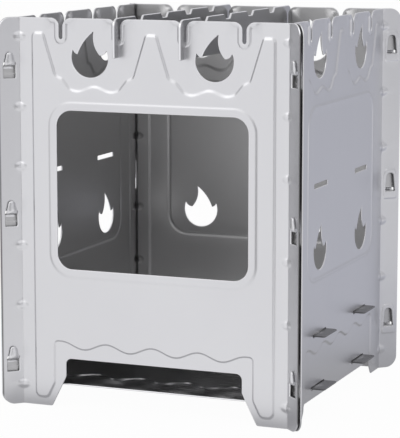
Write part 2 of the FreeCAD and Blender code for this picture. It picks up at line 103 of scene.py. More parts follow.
WINDOW_HALF = 51.75
WINDOW_SILL = 72.5
WINDOW_LINTEL = 153.5
WINDOW_CORNER = 8.0
WINDOW_RIM = 4.2
RIM_RISE = 0.45
RIM_SLOPE = 1.7
BEAD_HALF = 53.0
BEAD_LOW = 69.2
BEAD_HIGH = 156.5
BEAD_CORNER = 11.0
BEAD_REACH = 1.4
BEAD_RISE = 0.45

FRONT_ARCH_HALF = 48.2
FRONT_ARCH_HEIGHT = 25.5
FRONT_ARCH_SHOULDER = 16.0
LOW_ARCH_HALF = 55.0
LOW_ARCH_HEIGHT = 8.0
LOW_ARCH_SHOULDER = 4.8
ARCH_TOE_HALF = 56.3
LOW_ARCH_TOE_HALF = 58.3
ARCH_CORNER = 3.0
FOOT_ROUND = 1.2

SLOT_PLACES = (49.3, 17.7, -17.7, -49.3)
SLOT_WIDTH = 2.0
SLOT_DEPTH = 10.7
SLOT_MOUTH = 4.5
SLOT_END_SHARE = 0.98
SLOT_RIM = 2.3
SLOT_RIM_SLOPE = 0.8
SLOT_RIM_RISE = 0.65
BAR_RIM_CLEAR = 0.35

FLAME_HEIGHT = 23.0
FLAME_OFFSET = 33.5
FLAME_TOP_BASE = 170.4
FLAME_MID_BASE = 73.6

# The flame's points and the arcs that start at them, as shares of its height
FLAME_SIDE = (0.404, 0.596)
FLAME_NOTCH = (0.235, 0.485)
FLAME_TIP = (0.09, 1.0)
FLAME_FORK = (-0.295, 0.5)
FLAME_BASE_ROUND = 0.435
FLAME_SIDE_ROUND = 0.18
FLAME_NOTCH_ROUND = 0.55
FLAME_TIP_ROUND = 1.06
FLAME_FORK_ROUND = 0.13

DIMPLE_LEVELS = (190.4, 154.7, 124.2, 83.4, 52.1, 10.7)
DIMPLE_RISE = 0.7
DIMPLE_REACH = 4.2
DIMPLE_HALF_HEIGHT = 2.6

HOOK_COUNT = 3
HOOK_PITCH = 75.9
HOOK_BASE = 17.3
HOOK_INSET = 5.9
HOOK_HALF = 2.7
HOOK_LIFT = 5.6
HOOK_SLOT_HALF = 3.3
HOOK_SLOT_HEIGHT = 8.1
HOOK_SLOT_CORNER = 0.5
HOOK_TIP = 7.7
HOOK_DEPTH = 2.6
HOOK_TIP_HALF = 1.9
HOOK_CROWN = 0.7
HOOK_CROWN_RUN = 3.0
HOOK_EDGE_THINNING = 0.35
HOOK_EDGE_POWER = 6
LANCE_HALF = 3.0
LANCE_TOP_HALF = 2.0
LANCE_START = 0.6
LANCE_LENGTH = 10.8
LANCE_CORNER = 0.4
LANCE_TOP_CORNER = 1.8
PAD_HALF = 4.0
PAD_TOP_HALF = 2.6
PAD_LOW = -3.3
PAD_SHOULDER = 9.6
PAD_HIGH = 13.0
PAD_SLOPE = 0.45
PAD_RISE = 0.35
PAD_CORNER = 0.8

# The middle line of a hook, from its flange through the slot: out of the flange, and above its root
HOOK_PATH = ((GAUGE / 2, -0.9), (GAUGE / 2, -0.25), (0.15, 0.3), (-0.4, 0.6),
             (-1.4, 0.95), (-2.0, 1.25), (-2.45, 1.75), (-HOOK_DEPTH, 2.4))

TAB_HALF = 10.0
TAB_OFFSET = 33.0
TAB_FREE = 0.4
SPARE_FREE = 0.8
TAB_REACH = 7.0
TAB_CORNER = 1.6
TAB_SLOT_CORNER = 0.3
PLATE_FREE = 0.6
PLATE_CORNER = 1.5
GRATE_LEVEL = edge_of("fire_grate", LOWEST, UP)
TRAY_LEVEL = edge_of("ash_tray", LOWEST, UP)
SPARE_LEVEL = 116.5
GRATE_HOLE = 5.5
GRATE_PITCH = 24.0
GRATE_HOLES_EACH_WAY = 2
HOLE_RIM = 2.2
HOLE_RIM_RISE = 0.5
PLATE_BEAD_HALF = 62.5
PLATE_BEAD_CORNER = 9.0
TRAY_WAVE_LEVEL = 60.0
TRAY_WAVE_RISE = 3.0
TRAY_WAVE_END = 66.0
TRAY_BEAD_RISE = 0.6
TRAY_BEAD_REACH = 1.1
TRAY_DROOP = 1.8
TRAY_DROOP_ROWS = (60.0, 63.0, 66.0, 69.0, 71.0)

_, RIGHT_SLOT, LEFT_SLOT, _ = SLOT_PLACES
BAR_GAUGE = 1.2
BAR_TOP = edge_of("pot_bar_left", HIGHEST, UP)
BAR_DEPTH = 19.8
BAR_OVERHANG = 6.2
BAR_FREE = 0.4
BAR_SEAT = 189.85
BAR_CORNER = 4.5
BAR_TOE = 1.0
NOTCH_ROUND = 0.3
NOTCH_MOUTH_ROUND = 0.4
TOOTH_PITCH = 32.7
TOOTH_GAPS = (1.5, 0.5, -0.5, -1.5)
TOOTH_MOUTH = 10.5
TOOTH_FLOOR = 6.0
TOOTH_DEPTH = 2.5
TOOTH_ROUND = 0.7

# Mesh density: steps, clearances and counts; rows are in millimetres or shares of a slope or bead
EDGE_STEP = 1.6
ARC_STEP = 0.7
EMBOSS_STEP = 1.2
EMBOSS_ROWS = (-1.35, -0.94, -0.62, -0.31, 0.0, 0.31, 0.62, 0.94, 1.35)
OPEN_STEP = 5.0
OPEN_CLEAR = 1.9
POINT_CLEAR = 0.3
EDGE_ROW = 0.7
FOLD_SLACK = 0.06
BEND_STEP = 2.6
BEND_FOOT = 2.0
BEND_COLUMNS = 4
DIMPLE_ROWS = 11
DIMPLE_COLUMNS = 15
SLOT_RIM_ROWS = (-0.85, -0.5, -0.17, 0.17, 0.5, 0.85)
WINDOW_RIM_ROWS = (-0.75, -0.5, -0.25, 0, 0.25, 0.5, 0.75)
BEAD_ROWS = (-1.1, -0.75, -0.4, 0, 0.4, 0.75, 1.1)
PAD_ROWS = (-1.4, -0.7, 0, 0.7, 1.4)
HOLE_RIM_ROWS = (0.6, 1.2, 1.8, 2.4)
HOOK_TAPER_ROWS = (0.3, 0.6, 0.85, 1.0)
HOOK_TIP_TURNS = np.radians((15, 30, 45, 60, 72, 82))
HOOK_COLUMNS = 9
WAVE_STEPS = 20
DIP_STEPS = 25
CIRCLE_STEPS = 28
CORNER_SHARE = 0.49
BATCH = 2000
TINY_LENGTH = 1e-9
TINY_SQUARE = 1e-12
MERGE_REACH = 1e-6
LEFT_TURN = 1
RIGHT_TURN = -1

# Painted edge light and shade: 1 is an edge painted bright as a highlight, and below 0 a flange tip painted
# dark as the shade in the gap between flanges
RIM_HIGHLIGHT = 0.6
HOOK_LIGHTENING = 0.35


# Outlines in the plane of a sheet

def arc_between(start, end, radius, turn):
    """Points strictly between two ends of the short arc that turns the given way."""
    start = np.array(start)
    chord = np.array(end) - start
    length = np.hypot(*chord)
    reach = math.sqrt(max(radius ** 2 - length ** 2 / 4, 0))
    centre = start + chord / 2 + np.array((-chord[1], chord[0])) * (turn * reach / length)
    first = math.atan2(*(start - centre)[::-1])
    sweep = turn * 2 * math.asin(min(length / (2 * radius), 1))
    count = max(2, round(abs(sweep) * radius / ARC_STEP))
    return [tuple(centre + radius * np.array((math.cos(angle), math.sin(angle))))
            for angle in first + sweep * np.arange(1, count) / count]


def trace(corners):
    """Points along a closed outline of straight runs (x, z) and arcs (x, z, radius, turn)."""
    points = []
    for start, end in zip(corners, corners[1:] + corners[:1]):
        points.append(start[:2])
        if len(start) == 4:
            points += arc_between(start[:2], end[:2], start[2], start[3])
    return points


def soften(corners):
    """Points along a closed outline whose corners (x, z, radius) are rounded."""
    points = []
    for index, (x, z, radius) in enumerate(corners):
        corner = np.array((x, z))
        if radius == 0:
            points.append((x, z))
            continue
        back = np.array(corners[index - 1][:2]) - corner
        ahead = np.array(corners[(index + 1) % len(corners)][:2]) - corner
        back_length = np.hypot(*back)
        ahead_length = np.hypot(*ahead)
        back = back / back_length
        ahead = ahead / ahead_length
        half_angle = math.acos(np.clip(back @ ahead, -1, 1)) / 2
        trim = min(radius / math.tan(half_angle), CORNER_SHARE * back_length, CORNER_SHARE * ahead_length)
        fitted = trim * math.tan(half_angle)
        turn = LEFT_TURN if ahead[0] * back[1] - ahead[1] * back[0] > 0 else RIGHT_TURN
        start = tuple(corner + back * trim)
        end = tuple(corner + ahead * trim)
        points += [start] + arc_between(start, end, fitted, turn) + [end]
    return points


def spread(points, step, closed=True):
    """The same path with no run longer than the step."""
    ends = points[1:] + (points[:1] if closed else [])
    result = []
    for start, end in zip(points, ends):
        count = max(1, math.ceil(math.dist(start, end) / step))
        result += [tuple(np.array(start) + (np.array(end) - start) * k / count) for k in range(count)]
    return result if closed else result + [points[-1]]


def box(left, right, low, high, radius):
    """The corners of a rectangle, each with its rounding."""
    return [(left, low, radius), (right, low, radius), (right, high, radius), (left, high, radius)]


def flame(middle, base):
    """A three-tipped flame with a round base and a tall tip that leans to one side."""
    side, shoulder = FLAME_SIDE
    arcs = [((-side, shoulder), FLAME_BASE_ROUND, LEFT_TURN), ((0, 0), FLAME_BASE_ROUND, LEFT_TURN),
            ((side, shoulder), FLAME_SIDE_ROUND, RIGHT_TURN), (FLAME_NOTCH, FLAME_NOTCH_ROUND, RIGHT_TURN),
            (FLAME_TIP, FLAME_TIP_ROUND, LEFT_TURN), (FLAME_FORK, FLAME_FORK_ROUND, RIGHT_TURN)]
    return trace([(middle + across * FLAME_HEIGHT, base + up * FLAME_HEIGHT, radius * FLAME_HEIGHT, turn)
                  for (across, up), radius, turn in arcs])


def slot_corners(middle):
    """The corners of a pot slot, from its right mouth down and up to its left mouth."""
    half = SLOT_WIDTH / 2
    floor = BODY_HEIGHT - SLOT_DEPTH
    rounding = SLOT_END_SHARE * half
    return [(middle + half, BODY_HEIGHT, SLOT_MOUTH), (middle + half, floor, rounding),
            (middle - half, floor, rounding), (middle - half, BODY_HEIGHT, SLOT_MOUTH)]


def mirror(corners):
    """The same corners at the other side of the middle, in reverse order."""
    return [(-x, z, radius) for x, z, radius in reversed(corners)]


def field_loop():
    """The stamped field: two legs, a wavy lower border and two stepped dips under the flames."""
    top = BODY_HEIGHT - FIELD_TOP_DROP
    step = WAVE_PITCH / WAVE_STEPS
    wave_end = WAVES_EACH_WAY * WAVE_PITCH
    crest = WAVE_LEVEL + WAVE_RISE
    leg = [(FIELD_LEG_INNER, crest, FIELD_ROUND), (FIELD_LEG_INNER, FIELD_KNEE, FIELD_KNEE_ROUND),
           (FIELD_TOE_INNER, FIELD_FOOT, FIELD_ROUND), (FIELD_HALF, FIELD_FOOT, FIELD_ROUND)]
    corners = mirror(leg)
    for x in np.arange(-wave_end, wave_end + step / 2, step):
        corners.append((x, WAVE_LEVEL + WAVE_RISE * math.cos(math.tau * x / WAVE_PITCH), 0))
    corners += leg + [(FIELD_HALF, top, FIELD_TOP_ROUND)]
    slope = [(DIP_MOUTH_HALF, top, DIP_MOUTH_ROUND),
             (DIP_WAIST_HALF, BODY_HEIGHT - DIP_WAIST_DROP, DIP_ROUND),
             (DIP_STEP_HALF, BODY_HEIGHT - DIP_STEP_DROP, DIP_ROUND)]
    base = BODY_HEIGHT - DIP_BASE_DROP
    floor = [(x, base + DIP_WAVE_RISE * math.cos(math.tau * x / DIP_WAVE_PITCH), 0)
             for x in np.linspace(DIP_BASE_HALF, -DIP_BASE_HALF, DIP_STEPS)]
    for middle in (DIP_OFFSET, -DIP_OFFSET):
        corners += [(middle + x, z, radius) for x, z, radius in slope + floor + mirror(slope)]
    corners.append((-FIELD_HALF, top, FIELD_TOP_ROUND))
    return soften(corners)


# Measuring in the plane

def distance_to(points, path, closed=True):
    """Distance of each point from a path."""
    path = np.array(path)
    starts = path if closed else path[:-1]
    runs = (np.roll(path, -1, axis=0) if closed else path[1:]) - starts
    squares = np.maximum((runs ** 2).sum(1), TINY_SQUARE)
    result = np.empty(len(points))
    for first in range(0, len(points), BATCH):
        offset = points[first:first + BATCH, None] - starts
        along = np.clip((offset * runs).sum(2) / squares, 0, 1)
        result[first:first + BATCH] = np.sqrt(((offset - along[:, :, None] * runs) ** 2).sum(2)).min(1)
    return result


def inside(points, loop):
    """Whether each point lies in a closed loop."""
    loop = np.array(loop)
    ends = np.roll(loop, -1, axis=0)
    rise = ends[:, 1] - loop[:, 1]
    slope = (ends[:, 0] - loop[:, 0]) / np.where(rise == 0, 1, rise)
    result = np.empty(len(points), bool)
    for first in range(0, len(points), BATCH):
        x = points[first:first + BATCH, 0, None]
        z = points[first:first + BATCH, 1, None]
        crossed = ((loop[:, 1] > z) != (ends[:, 1] > z)) & (x < loop[:, 0] + (z - loop[:, 1]) * slope)
        result[first:first + BATCH] = crossed.sum(1) % 2 == 1
    return result


def ease(value):
    """A smooth step from 0 to 1."""
    value = np.clip(value, 0, 1)
    return value * value * (3 - 2 * value)


def side_normals(points, closed=True):
    """The left-hand normal at each point of a path."""
    points = np.array(points)
    if closed:
        along = np.roll(points, -1, axis=0) - np.roll(points, 1, axis=0)
    else:
        along = np.gradient(points, axis=0)
    along /= np.maximum(np.hypot(*along.T), TINY_LENGTH)[:, None]
    return np.stack((-along[:, 1], along[:, 0]), axis=1)


def rows_along(path, offsets, closed=True):
    """Points in rows beside a path, without those that a tight turn folds over."""
    path = spread(path, EMBOSS_STEP, closed)
    normals = side_normals(path, closed)
    rows = []
    for offset in offsets:
        row = np.array(path) + normals * offset
        rows.append(row[distance_to(row, path, closed) > abs(offset) - FOLD_SLACK])
    return np.concatenate(rows)


# Sheets: a flat outline with holes, meshed finely where it is stamped, given a thickness and folded

def loose_points(candidates, taken, clear):
    """The candidates that stay clear of the points taken so far and of each other."""
    cells = {}

    def cell(point):
        return int(point[0] // clear), int(point[1] // clear)

    for point in taken:
        cells.setdefault(cell(point), []).append(point)
    kept = []
    for point in candidates:
        column, row = cell(point)
        near = (other for dx in (-1, 0, 1) for dz in (-1, 0, 1)
                for other in cells.get((column + dx, row + dz), ()))
        if all(math.dist(point, other) >= clear for other in near):
            cells.setdefault((column, row), []).append(point)
            kept.append(point)
    return kept


class Sheet:
    """One sheet with rounded edges; its heights are stamped and its points are then placed in space."""

    def __init__(self, outline, holes, gauge=GAUGE):
        self.gauge = gauge
        self.loops = [spread(outline, EDGE_STEP)] + [spread(hole, EDGE_STEP) for hole in holes]
        self.rows = []
        self.stamps = []

    def stamp(self, height, rows):
        """A height function over points in the plane, with the mesh rows that it needs."""
        self.stamps.append(height)
        self.rows.append(rows)

    def holds(self, points, loops=None):
        """Whether each point lies in the outline and in no hole."""
        outline, *holes = loops or self.loops
        held = inside(points, outline)
        for hole in holes:
            held &= ~inside(points, hole)
        return held

    def inset_loops(self, inset):
        """The loops drawn in toward the sheet."""
        result = []
        for loop in self.loops:
            points = np.array(loop)
            normals = side_normals(loop)
            if self.holds(points + normals * EDGE_ROUND).mean() <= 0.5:
                normals = -normals
            result.append(points + normals * inset)
        return result

    def plane_points(self):
        """Loop points, stamped rows and an open grid, and the constrained loop edges."""
        insets = self.inset_loops(EDGE_ROUND)
        taken = [tuple(point) for loop in insets for point in loop]
        edges = []
        first = 0
        for loop in insets:
            count = len(loop)
            edges += [(first + k, first + (k + 1) % count) for k in range(count)]
            first += count
        rows = np.concatenate(self.inset_loops(EDGE_ROW) + self.rows)
        clear = np.min([distance_to(rows, loop) for loop in insets], axis=0) > POINT_CLEAR
        rows = rows[self.holds(rows) & clear]
        taken += loose_points([tuple(point) for point in rows], taken, POINT_CLEAR)
        tree = KDTree(len(taken))
        for index, point in enumerate(taken):
            tree.insert((*point, 0), index)
        tree.balance()
        outline = np.array(self.loops[0])
        low = outline.min(0)
        high = outline.max(0)
        across = np.arange(low[0] + OPEN_STEP / 2, high[0], OPEN_STEP)
        up = np.arange(low[1] + OPEN_STEP / 2, high[1], OPEN_STEP)
        grid = np.array([(x + (row % 2) * OPEN_STEP / 2, z) for row, z in enumerate(up) for x in across])
        grid = grid[self.holds(grid)]
        taken += [tuple(point) for point in grid if tree.find((*point, 0))[2] > OPEN_CLEAR]
        return taken, edges, insets

    def heights(self, points):
        """The stamped height at each point."""
        return sum((height(points) for height in self.stamps), np.zeros(len(points)))

    def mesh_data(self, place):
        """Points in space, faces, and painted light and shade values, for a function place(across, up,
        out).
        """
        taken, edges, insets = self.plane_points()
        flat, _, triangles, origins, _, _ = delaunay_2d_cdt(
            [Vector(point) for point in taken], edges, [], 0, MERGE_REACH)
        flat = np.array([tuple(point) for point in flat])
        triangles = np.array([tuple(face) for face in triangles])
        triangles = triangles[self.holds(flat[triangles].mean(1), insets)]
        found = {origin: index for index, sources in enumerate(origins) for origin in sources}
        rise = self.heights(flat)
        count = len(flat)
        points = [place(flat[:, 0], flat[:, 1], rise + self.gauge), place(flat[:, 0], flat[:, 1], rise)]
        edge_light_and_shade = [np.zeros(count), np.zeros(count)]
        ring_count = 2 * sum(len(loop) for loop in self.loops)
        faces = [tuple(face) for face in triangles] + [tuple(face[::-1] + count) for face in triangles]
        first = 0
        base = 2 * count
        for loop in self.loops:
            ring = np.array(loop)
            size = len(ring)
            ring_rise = self.heights(ring)
            points.append(place(ring[:, 0], ring[:, 1], ring_rise + self.gauge - EDGE_ROUND))
            points.append(place(ring[:, 0], ring[:, 1], ring_rise + EDGE_ROUND))
            # The rounded edge band is painted bright as a highlight, and the rim points beside it part of
            # the way
            edge_light_and_shade += [np.ones(size), np.ones(size)]
            rim = [found[first + k] for k in range(size)]
            edge_light_and_shade[0][rim] = RIM_HIGHLIGHT
            edge_light_and_shade[1][rim] = RIM_HIGHLIGHT
            for k in range(size):
                n = (k + 1) % size
                faces.append((rim[k], rim[n], base + n, base + k))
                faces.append((base + k, base + n, base + size + n, base + size + k))
                faces.append((base + size + k, base + size + n, count + rim[n], count + rim[k]))
            first += size
            base += 2 * size
        # Inner faces are marked to be painted darker as shade and made rougher
        painted_light = {"edge_light_and_shade": np.concatenate(edge_light_and_shade),
                  "inner": np.concatenate((np.zeros(count), np.ones(count), np.zeros(ring_count)))}
        return np.concatenate(points), faces, painted_light


PAINTED_LIGHT_VALUES = ("edge_light_and_shade", "inner")
SMOOTH_ANGLE = math.radians(38)


def make_piece(name, parts, material):
    """One mesh object of several closed shells, in metres, with smooth shading and its painted light and
    shade values.
    """
    mesh = bpy.data.meshes.new(name)
    points = []
    faces = []
    for part_points, part_faces, _ in parts:
        first = sum(len(group) for group in points)
        points.append(part_points)
        faces += [tuple(int(index) + first for index in face) for face in part_faces]
    mesh.from_pydata((np.concatenate(points) * MM).tolist(), [], faces)
    shape = bmesh.new()
    shape.from_mesh(mesh)
    bmesh.ops.recalc_face_normals(shape, faces=shape.faces)
    shape.to_mesh(mesh)
    shape.free()
    mesh.polygons.foreach_set("use_smooth", [True] * len(mesh.polygons))
    mesh.set_sharp_from_angle(angle=SMOOTH_ANGLE)
    for value in PAINTED_LIGHT_VALUES:
        levels = np.concatenate([painted_light[value] for _, _, painted_light in parts])
        mesh.attributes.new(value, "FLOAT", "POINT").data.foreach_set("value", levels)
    mesh.materials.append(material)
    piece = bpy.data.objects.new(name, mesh)
    bpy.context.scene.collection.objects.link(piece)
    return piece


# Panels

BEND_TRIM = BEND_RADIUS * math.tan(BEND_ANGLE / 2)
BEND_START = INNER_HALF - FLANGE_GAP * math.sqrt(0.5) - BEND_TRIM
BEND_END = BEND_START + BEND_RADIUS * BEND_ANGLE
SHEET_HALF = BEND_END + FLANGE_WIDTH - BEND_TRIM
HOOK_ACROSS = BEND_END + HOOK_INSET - BEND_TRIM


def fold_panel(turn):
    """A function that folds the flat sheet's points and stands them up facing the given way."""
    cosine = math.cos(turn)
    sine = math.sin(turn)

    def place(across, up, out):
        side = np.sign(across)
        length = np.abs(across)
        angle = np.clip((length - BEND_START) / BEND_RADIUS, 0, BEND_ANGLE)
        flange = np.maximum(length - BEND_END, 0)
        reach = np.minimum(length, BEND_START) + BEND_RADIUS * np.sin(angle) + flange * np.cos(angle)
        depth = INNER_HALF + BEND_RADIUS * (1 - np.cos(angle)) + flange * np.sin(angle)
        x = side * (reach - out * np.sin(angle))
        y = -(depth + out * np.cos(angle))
        return np.stack((x * cosine - y * sine, x * sine + y * cosine, up + 0 * x), axis=1)

    return place


def panel_outline(arch_half, toe_half, arch_height, shoulder):
    """A panel laid flat: an arch between two feet below, and the pot slots above."""
    foot = [(arch_half, arch_height, ARCH_CORNER), (arch_half, shoulder, ARCH_CORNER),
            (toe_half, 0, FOOT_ROUND), (SHEET_HALF, 0, FLANGE_CORNER)]
    corners = mirror(foot) + foot + [(SHEET_HALF, BODY_HEIGHT, FLANGE_CORNER)]
    for middle in SLOT_PLACES:
        corners += slot_corners(middle)
    corners.append((-SHEET_HALF, BODY_HEIGHT, FLANGE_CORNER))
    return soften(corners)


def stamp_field(sheet):
    """The field rises on a short slope, and on a longer one along the floors of the dips."""
    loop = spread(field_loop(), EMBOSS_STEP)

    def draw_in(points):
        across, up = np.array(points).T
        return np.stack((across, up - (1 - DIP_STRETCH) * np.maximum(up - DIP_LEVEL, 0)), axis=1)

    close = draw_in(loop)

    def height(points):
        depth = distance_to(draw_in(points), close) * np.where(inside(points, loop), 1, -1)
        return FIELD_RISE * ease((depth / FIELD_SLOPE + 1) / 2)

    sheet.stamp(height, rows_along(loop, EMBOSS_ROWS))


def stamp_slot_rims(sheet):
    """The raised rims round the pot slots."""
    paths = []
    for middle in SLOT_PLACES:
        left = middle - SLOT_WIDTH / 2 - SLOT_MOUTH
        right = middle + SLOT_WIDTH / 2 + SLOT_MOUTH
        corners = [(right, BODY_HEIGHT, 0)] + slot_corners(middle) + [(left, BODY_HEIGHT, 0)]
        paths.append(spread(soften(corners), EMBOSS_STEP, closed=False))

    def height(points):
        near = np.min([distance_to(points, path, closed=False) for path in paths], axis=0)
        return SLOT_RIM_RISE * ease((SLOT_RIM + SLOT_RIM_SLOPE / 2 - near) / SLOT_RIM_SLOPE)

    offsets = [SLOT_RIM + SLOT_RIM_SLOPE * share for share in SLOT_RIM_ROWS]
    sheet.stamp(height, np.concatenate([rows_along(path, offsets, closed=False) for path in paths]))


def stamp_dimples(sheet):
    """Short ridges pressed across the flange bends."""
    middle = (BEND_START + BEND_END) / 2

    def height(points):
        near = np.abs(points[:, 1, None] - np.array(DIMPLE_LEVELS)).min(1) / DIMPLE_HALF_HEIGHT
        across = (np.abs(points[:, 0]) - middle) / DIMPLE_REACH
        return DIMPLE_RISE * ease(1 - near ** 2 - across ** 2)

    rows = []
    for side in (-1, 1):
        for level in np.arange(BEND_FOOT, BODY_HEIGHT, BEND_STEP):
            rows += [(side * across, level) for across in np.linspace(BEND_START, BEND_END, BEND_COLUMNS)]
        for level in DIMPLE_LEVELS:
            for up in np.linspace(-1, 1, DIMPLE_ROWS) * DIMPLE_HALF_HEIGHT:
                for across in np.linspace(-1, 1, DIMPLE_COLUMNS) * DIMPLE_REACH:
                    rows.append((side * (middle + across), level + up))
    sheet.stamp(height, np.array(rows))


def stamp_window_rim(sheet, window):
    """The raised rim round the fuel window."""
    window = spread(window, EMBOSS_STEP)

    def height(points):
        return RIM_RISE * ease((WINDOW_RIM + RIM_SLOPE / 2 - distance_to(points, window)) / RIM_SLOPE)

    offsets = [-WINDOW_RIM - RIM_SLOPE * share for share in WINDOW_RIM_ROWS]
    sheet.stamp(height, rows_along(window, offsets))


def stamp_bead(sheet, loop):
    """A round bead along a closed loop."""
    loop = spread(loop, EMBOSS_STEP)

    def height(points):
        return BEAD_RISE * ease(1 - distance_to(points, loop) / BEAD_REACH)

    offsets = [BEAD_REACH * share for share in BEAD_ROWS]
    sheet.stamp(height, rows_along(loop, offsets))


def at_hooks(corners):
    """An outline drawn about one hook's middle and base, repeated at every hook of both flanges."""
    return [soften([(middle + across, HOOK_BASE + index * HOOK_PITCH + up, radius)
                    for across, up, radius in corners])
            for index in range(HOOK_COUNT) for middle in (-HOOK_ACROSS, HOOK_ACROSS)]


def hook_slots():
    return at_hooks(box(-HOOK_SLOT_HALF, HOOK_SLOT_HALF, 0, HOOK_SLOT_HEIGHT, HOOK_SLOT_CORNER))


def lance_windows():
    """The tapered openings that the hooks are lanced from."""
    low = HOOK_LIFT + LANCE_START
    high = HOOK_LIFT + LANCE_LENGTH
    return at_hooks([(-LANCE_HALF, low, LANCE_CORNER), (LANCE_HALF, low, LANCE_CORNER),
                     (LANCE_TOP_HALF, high, LANCE_TOP_CORNER), (-LANCE_TOP_HALF, high, LANCE_TOP_CORNER)])


def stamp_pads(sheet):
    """A shallow pad with cut-off upper corners round each lanced hook."""
    low = HOOK_LIFT + PAD_LOW
    shoulder = HOOK_LIFT + PAD_SHOULDER
    high = HOOK_LIFT + PAD_HIGH
    corners = [(-PAD_HALF, low), (PAD_HALF, low), (PAD_HALF, shoulder), (PAD_TOP_HALF, high),
               (-PAD_TOP_HALF, high), (-PAD_HALF, shoulder)]
    loops = [spread(loop, EMBOSS_STEP) for loop in at_hooks([(x, z, PAD_CORNER) for x, z in corners])]

    def height(points):
        depth = np.max([distance_to(points, loop) * np.where(inside(points, loop), 1, -1)
                        for loop in loops], axis=0)
        return PAD_RISE * ease((depth / PAD_SLOPE + 1) / 2)

    offsets = [PAD_SLOPE * share for share in PAD_ROWS]
    sheet.stamp(height, np.concatenate([rows_along(loop, offsets) for loop in loops]))


def flame_pair(base):
    return [flame(side * FLAME_OFFSET, base) for side in (-1, 1)]


def tab_slots():
    """Slots for the tabs of the two plates, and spare ones higher up."""
    half = TAB_HALF + TAB_FREE
    return [soften(box(side * TAB_OFFSET - half, side * TAB_OFFSET + half,
                       level - free, level + GAUGE + free, TAB_SLOT_CORNER))
            for level, free in ((TRAY_LEVEL, TAB_FREE), (GRATE_LEVEL, TAB_FREE), (SPARE_LEVEL, SPARE_FREE))
            for side in (-1, 1)]


def hook_tongue(place, side, index):
    """A tongue that leaves its flange, steps through the neighbour's slot and stands up behind it."""
    root = HOOK_BASE + index * HOOK_PITCH + HOOK_LIFT
    tip = root + HOOK_TIP
    rows = [(out, root + up, HOOK_HALF) for out, up in HOOK_PATH]
    taper_start = rows[-1][1]
    round_start = tip - HOOK_TIP_HALF
    for share in HOOK_TAPER_ROWS:
        rows.append((-HOOK_DEPTH, taper_start + share * (round_start - taper_start),
                     HOOK_HALF + share * (HOOK_TIP_HALF - HOOK_HALF)))
    for turn in HOOK_TIP_TURNS:
        rows.append((-HOOK_DEPTH, round_start + HOOK_TIP_HALF * math.sin(turn),
                     HOOK_TIP_HALF * math.cos(turn)))
    centre = np.array([(out, up) for out, up, _ in rows])
    normals = side_normals(centre, closed=False)
    shares = np.linspace(-1, 1, HOOK_COLUMNS)
    points = []
    for face in (1, -1):
        for (out, up), normal, (_, _, half) in zip(centre, normals, rows):
            across = side * (HOOK_ACROSS + shares * half)
            edge = (GAUGE / 2) * (1 - HOOK_EDGE_THINNING * np.abs(shares) ** HOOK_EDGE_POWER)
            crown = HOOK_CROWN * ease((up - root) / HOOK_CROWN_RUN) * (1 - shares ** 2) * half / HOOK_HALF
            shift = normal * face
            points.append(place(across, up + shift[1] * edge, out + shift[0] * edge - crown))
    count = len(rows)
    faces = []

    def at(face, row, column):
        return (face * count + row) * HOOK_COLUMNS + column

    for row in range(count - 1):
        for column in range(HOOK_COLUMNS - 1):
            for face in (0, 1):
                faces.append((at(face, row, column), at(face, row, column + 1),
                              at(face, row + 1, column + 1), at(face, row + 1, column)))
        for column in (0, HOOK_COLUMNS - 1):
            faces.append((at(0, row, column), at(0, row + 1, column),
                          at(1, row + 1, column), at(1, row, column)))
    for row in (0, count - 1):
        for column in range(HOOK_COLUMNS - 1):
            faces.append((at(0, row, column), at(0, row, column + 1),
                          at(1, row, column + 1), at(1, row, column)))
    points = np.concatenate(points)
    # The tongue is painted a little lighter, part of the way to the painted edge highlight
    painted_light = {"edge_light_and_shade": np.full(len(points), HOOK_LIGHTENING), "inner": np.zeros(len(points))}
    return points, faces, painted_light


def make_panel(name, turn, outline, holes, material, stamp_middle, hooks=False):
    """A panel's sheet, stamped, folded and stood in its place, with hooks, or with flange tips painted dark
    as the shade in the gap beside them.
    """
    sheet = Sheet(outline, holes + flame_pair(FLAME_TOP_BASE))
    stamp_field(sheet)
    stamp_slot_rims(sheet)
    stamp_dimples(sheet)
    stamp_middle(sheet)
    if hooks:
        stamp_pads(sheet)
    place = fold_panel(math.radians(turn))
    points, faces, painted_light = sheet.mesh_data(place)
    parts = [(points, faces, painted_light)]
    if hooks:
        # Side panels get no painted edge highlight; their hook tongues are painted a little lighter
        painted_light["edge_light_and_shade"] = np.zeros(len(points))
        parts += [hook_tongue(place, side, index) for side in (-1, 1) for index in range(HOOK_COUNT)]
    else:
        # Front and back panels: the flange tips are painted dark as the shade in the gap between flanges
        reach = np.abs(points[:, :2]).sum(1)
        from_tip = (reach.max() - reach) / TIP_SHADE_REACH
        painted_light["edge_light_and_shade"] = np.where(from_tip < 1, from_tip - 1, painted_light["edge_light_and_shade"])
    return make_piece(name, parts, material)


def make_front(material):
    window = soften(box(-WINDOW_HALF, WINDOW_HALF, WINDOW_SILL, WINDOW_LINTEL, WINDOW_CORNER))
    holes = [window] + hook_slots()
    outline = panel_outline(FRONT_ARCH_HALF, ARCH_TOE_HALF, FRONT_ARCH_HEIGHT, FRONT_ARCH_SHOULDER)
    return make_panel("stamped_front", 0, outline, holes, material,
                      lambda sheet: stamp_window_rim(sheet, window))


def make_plain_panel(name, turn, holes, material, hooks=False):
    """A panel with a bead round its middle instead of a window, and a low arch."""
    bead = soften(box(-BEAD_HALF, BEAD_HALF, BEAD_LOW, BEAD_HIGH, BEAD_CORNER))
    outline = panel_outline(LOW_ARCH_HALF, LOW_ARCH_TOE_HALF, LOW_ARCH_HEIGHT, LOW_ARCH_SHOULDER)
    return make_panel(name, turn, outline, holes + flame_pair(FLAME_MID_BASE), material,
                      lambda sheet: stamp_bead(sheet, bead), hooks)


def make_back(material):
    return make_plain_panel("stamped_back", 180, hook_slots(), material)


def make_side(name, turn, material):
    return make_plain_panel(name, turn, lance_windows() + tab_slots(), material, hooks=True)


# Plates

